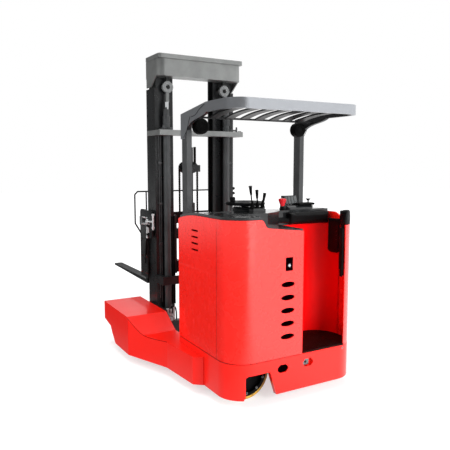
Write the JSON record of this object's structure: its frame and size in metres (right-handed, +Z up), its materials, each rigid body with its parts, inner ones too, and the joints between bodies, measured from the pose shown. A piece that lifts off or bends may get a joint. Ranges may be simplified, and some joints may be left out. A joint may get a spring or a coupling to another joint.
{
  "type": "electric reach truck forklift",
  "caption": "Stand-on electric reach truck with a red body, overhead guard, straddle legs, a nested lift mast reached forward and a pair of raised forks.",
  "frame": {"origin": "middle of the bounding box's footprint, on the floor", "axes": "+Y towards the fork tips, +X to the truck's right, +Z up"},
  "size_m": [1.772, 3.23, 2.83],
  "materials": {
    "frame_red": "gloss powder coat",
    "cover_red": "gloss powder coat",
    "mast_black": "satin black paint",
    "mast_grey": "satin grey paint",
    "guard_grey": "satin dark grey paint",
    "liner_red": "gloss powder coat",
    "mat_rubber": "ribbed",
    "console_plastic": "textured",
    "pad_vinyl": "soft vinyl",
    "lamp_black": "gloss",
    "button_red": "gloss",
    "wheel_black": "satin black paint",
    "drive_tyre": "cast polyurethane",
    "steel_bright": "hard chromed",
    "steel_plain": "machined",
    "cast_black": "painted casting",
    "battery_case": "satin",
    "fork_steel": "satin black paint",
    "chain_steel": "oiled"
  },
  "bodies": {
    "chassis": {"chassis_frame": "frame_red", "leg_left": "frame_red", "leg_right": "frame_red", "rear_cover": "cover_red", "left_panel": "cover_red", "right_cover": "cover_red", "front_panel": "cover_red", "operator_liner": "liner_red", "floor_mat": "mat_rubber", "battery": "battery_case", "console": "console_plastic", "console_pad": "pad_vinyl", "levers": "lamp_black", "console_controls": "button_red", "back_pad": "pad_vinyl", "guard_posts": "guard_grey", "guard_roof": "guard_grey", "work_lamps": "lamp_black"},
    "steering": {"steering_wheel": "lamp_black"},
    "drive_unit": {"drive_housing": "cast_black"},
    "drive_roller": {"drive_wheel": "wheel_black", "drive_tyre": "drive_tyre"},
    "caster": {"caster_fork": "steel_plain"},
    "caster_roller": {"caster_wheel": "drive_tyre"},
    "load_swivel_left": {"load_yoke_left": "cast_black"},
    "load_swivel_right": {"load_yoke_right": "cast_black"},
    "load_roller_left": {"load_wheel_left": "drive_tyre"},
    "load_roller_right": {"load_wheel_right": "drive_tyre"},
    "mast_base": {"reach_carriage": "mast_black", "outer_uprights": "mast_black", "mast_collar": "mast_grey", "lift_barrels": "mast_black"},
    "mid_stage": {"mid_uprights": "mast_black", "mast_head": "mast_grey", "lift_rods": "steel_bright"},
    "inner_stage": {"inner_uprights": "mast_black", "free_lift_barrel": "mast_black"},
    "free_head": {"free_lift_head": "mast_black", "lift_chains": "chain_steel"},
    "carriage": {"lift_carriage": "mast_black", "valve_block": "steel_plain"},
    "tilt_frame": {"fork_frame": "mast_black", "load_backrest": "mast_black"},
    "left_fork": {"fork_left": "fork_steel"},
    "right_fork": {"fork_right": "fork_steel"}
  },
  "joints": [
    {"name": "drive_steer", "type": "hinge", "parent": "chassis", "child": "drive_unit", "pos_m": [-0.365, -1.375, 0.2], "axis": [0, 0, 1], "range_deg": [-180, 0]},
    {"name": "drive_spin", "type": "hinge", "parent": "drive_unit", "child": "drive_roller", "pos_m": [-0.365, -1.375, 0.2], "axis": [0, 1, 0], "continuous": true},
    {"name": "steering_turn", "type": "hinge", "parent": "chassis", "child": "steering", "pos_m": [-0.12, -1.015, 1.476], "axis": [0, 0, 1], "range_deg": [-360, 0]},
    {"name": "caster_swivel", "type": "hinge", "parent": "chassis", "child": "caster", "pos_m": [0.4, -1.365, 0.2], "axis": [0, 0, 1], "continuous": true},
    {"name": "caster_spin", "type": "hinge", "parent": "caster", "child": "caster_roller", "pos_m": [0.4, -1.413, 0.09], "axis": [1, 0, 0], "continuous": true},
    {"name": "load_turn_left", "type": "hinge", "parent": "chassis", "child": "load_swivel_left", "pos_m": [-0.692, 0.125, 0.14], "axis": [0, 0, 1], "range_deg": [-90, 0]},
    {"name": "load_turn_right", "type": "hinge", "parent": "chassis", "child": "load_swivel_right", "pos_m": [0.692, 0.125, 0.14], "axis": [0, 0, 1], "range_deg": [0, 90]},
    {"name": "load_spin_left", "type": "hinge", "parent": "load_swivel_left", "child": "load_roller_left", "pos_m": [-0.692, 0.125, 0.14], "axis": [1, 0, 0], "continuous": true},
    {"name": "load_spin_right", "type": "hinge", "parent": "load_swivel_right", "child": "load_roller_right", "pos_m": [0.692, 0.125, 0.14], "axis": [1, 0, 0], "continuous": true},
    {"name": "mast_reach", "type": "slide", "parent": "chassis", "child": "mast_base", "axis": [0, 1, 0], "range_m": [-0.6, 0]},
    {"name": "mid_lift", "type": "slide", "parent": "mast_base", "child": "mid_stage", "axis": [0, 0, 1], "range_m": [0, 1.5]},
    {"name": "inner_lift", "type": "slide", "parent": "mid_stage", "child": "inner_stage", "axis": [0, 0, 1], "range_m": [0, 1.5]},
    {"name": "carriage_lift", "type": "slide", "parent": "inner_stage", "child": "carriage", "axis": [0, 0, 1], "range_m": [-0.48, 1]},
    {"name": "free_lift", "type": "slide", "parent": "inner_stage", "child": "free_head", "axis": [0, 0, 1], "range_m": [-0.24, 0.5]},
    {"name": "fork_tilt", "type": "hinge", "parent": "carriage", "child": "tilt_frame", "pos_m": [0, 0.425, 0.7], "axis": [1, 0, 0], "range_deg": [-3, 5]},
    {"name": "fork_shift_left", "type": "slide", "parent": "tilt_frame", "child": "left_fork", "axis": [1, 0, 0], "range_m": [-0.05, 0.15]},
    {"name": "fork_shift_right", "type": "slide", "parent": "tilt_frame", "child": "right_fork", "axis": [1, 0, 0], "range_m": [-0.15, 0.05]}
  ],
  "couplings": [
    {"joint": "steering_turn", "follows": "drive_steer", "ratio": 2},
    {"joint": "inner_lift", "follows": "mid_lift", "ratio": 1},
    {"joint": "free_lift", "follows": "carriage_lift", "ratio": 0.5}
  ]
}
